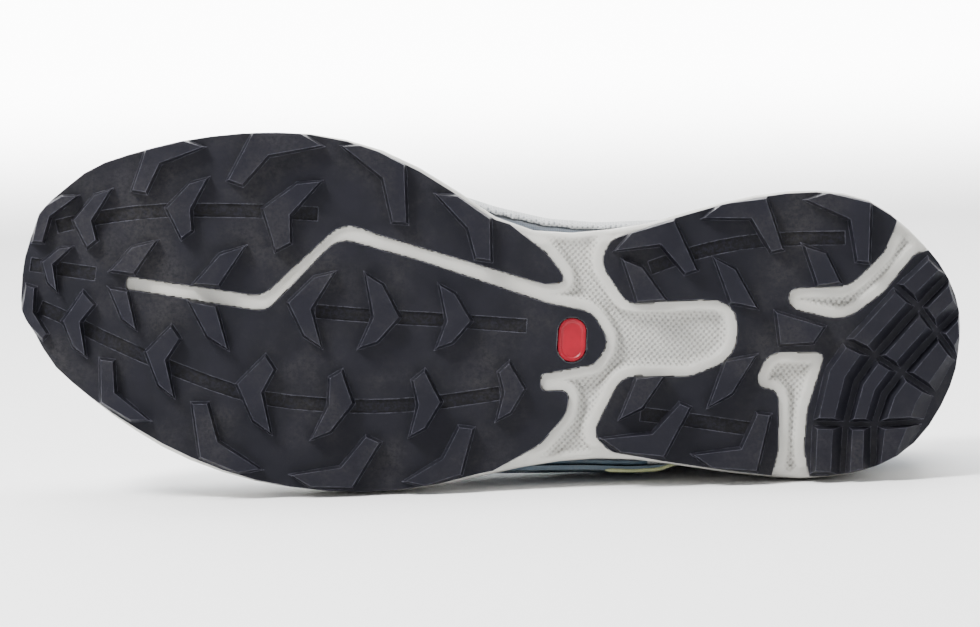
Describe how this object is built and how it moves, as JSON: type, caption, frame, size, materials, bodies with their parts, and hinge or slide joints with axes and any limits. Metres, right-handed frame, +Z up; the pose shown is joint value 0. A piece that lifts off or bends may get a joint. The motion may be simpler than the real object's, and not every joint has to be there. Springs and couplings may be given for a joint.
{
  "type": "trail running shoe",
  "caption": "Right trail running shoe lying on its outer side, with chevron lugs, a ridged heel block, a foam midsole and a mesh upper that is open at the collar and throat.",
  "frame": {"origin": "bottom centre of the bounding box, on the floor that the shoe lies on", "axes": "+X from toe to heel, +Z up, the tread looks towards -Y"},
  "size_m": [0.3002, 0.1296, 0.1163],
  "materials": {
    "tread": "matt moulded rubber",
    "foam": "matt moulded foam",
    "accent": "smooth",
    "lining": "brushed textile",
    "mesh": "open mesh textile",
    "overlay": "welded film",
    "lace": "flat woven lace"
  },
  "bodies": {
    "root": {"outsole_forefoot": "tread", "outsole_heel": "tread", "midsole": "foam", "sole_plug": "accent", "insole": "lining", "upper": "mesh", "tongue": "lining", "toe_cap": "overlay", "heel_counter": "overlay", "saddle_lateral": "overlay", "eyestay_medial": "overlay", "lace_bars": "lace"}
  },
  "joints": []
}
